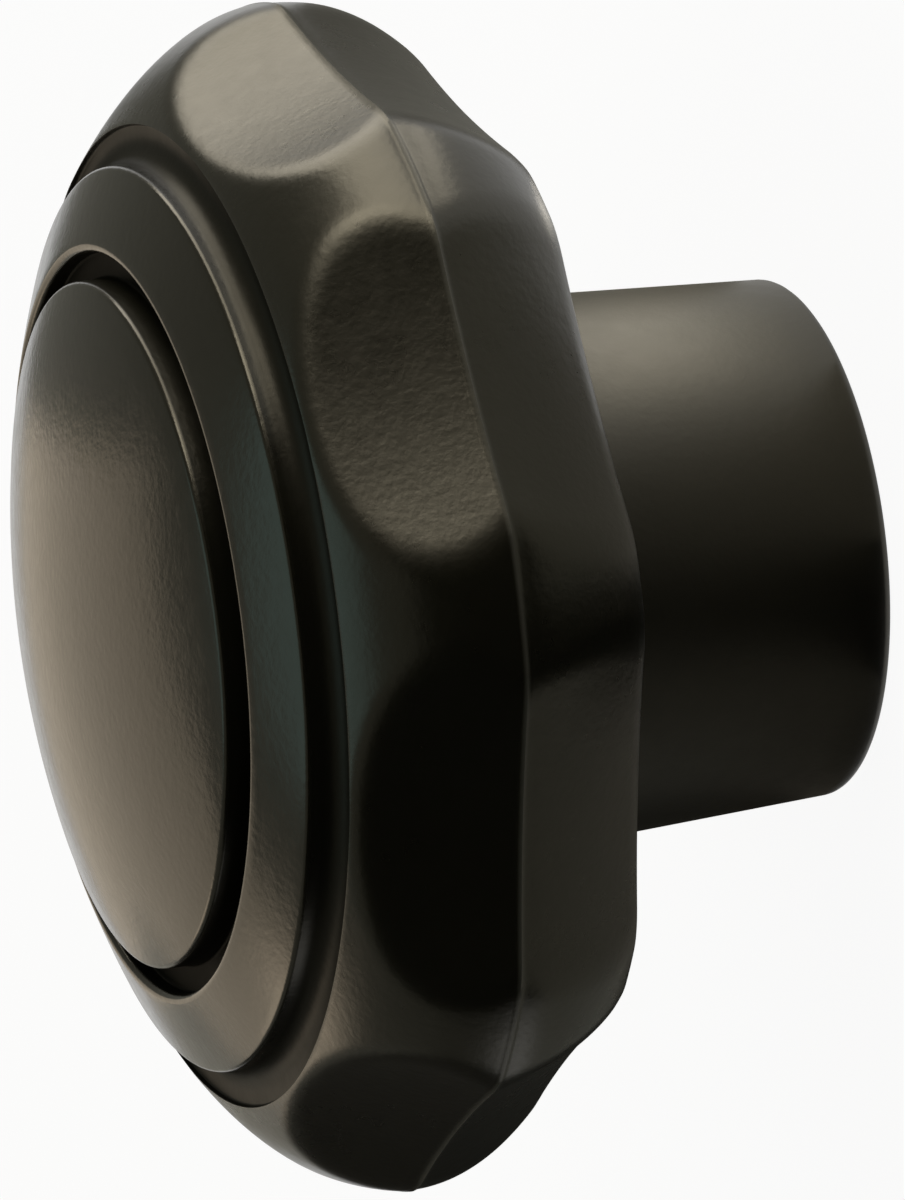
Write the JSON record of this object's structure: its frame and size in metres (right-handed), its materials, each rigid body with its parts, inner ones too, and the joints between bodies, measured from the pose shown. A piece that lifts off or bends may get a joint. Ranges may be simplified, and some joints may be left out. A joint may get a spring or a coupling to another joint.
{
  "type": "lobed hand knob",
  "caption": "Round moulded hand knob with a scalloped rim, a domed face with ring grooves and a plain tapered hub, for turning and clamping on a threaded stud.",
  "frame": {"origin": "centre of the hub's end face, where the knob meets what it is screwed down to", "axes": "+Z along the thread's axis, from the hub's end towards the domed face; +X through the middle of a lobe"},
  "size_m": [0.05, 0.05, 0.0329],
  "materials": {
    "moulded_black": "satin black thermoset moulding with a faint grain",
    "turned_brass": "turned and tapped"
  },
  "bodies": {
    "root": {"knob_body": "moulded_black", "threaded_insert": "turned_brass"}
  },
  "joints": []
}
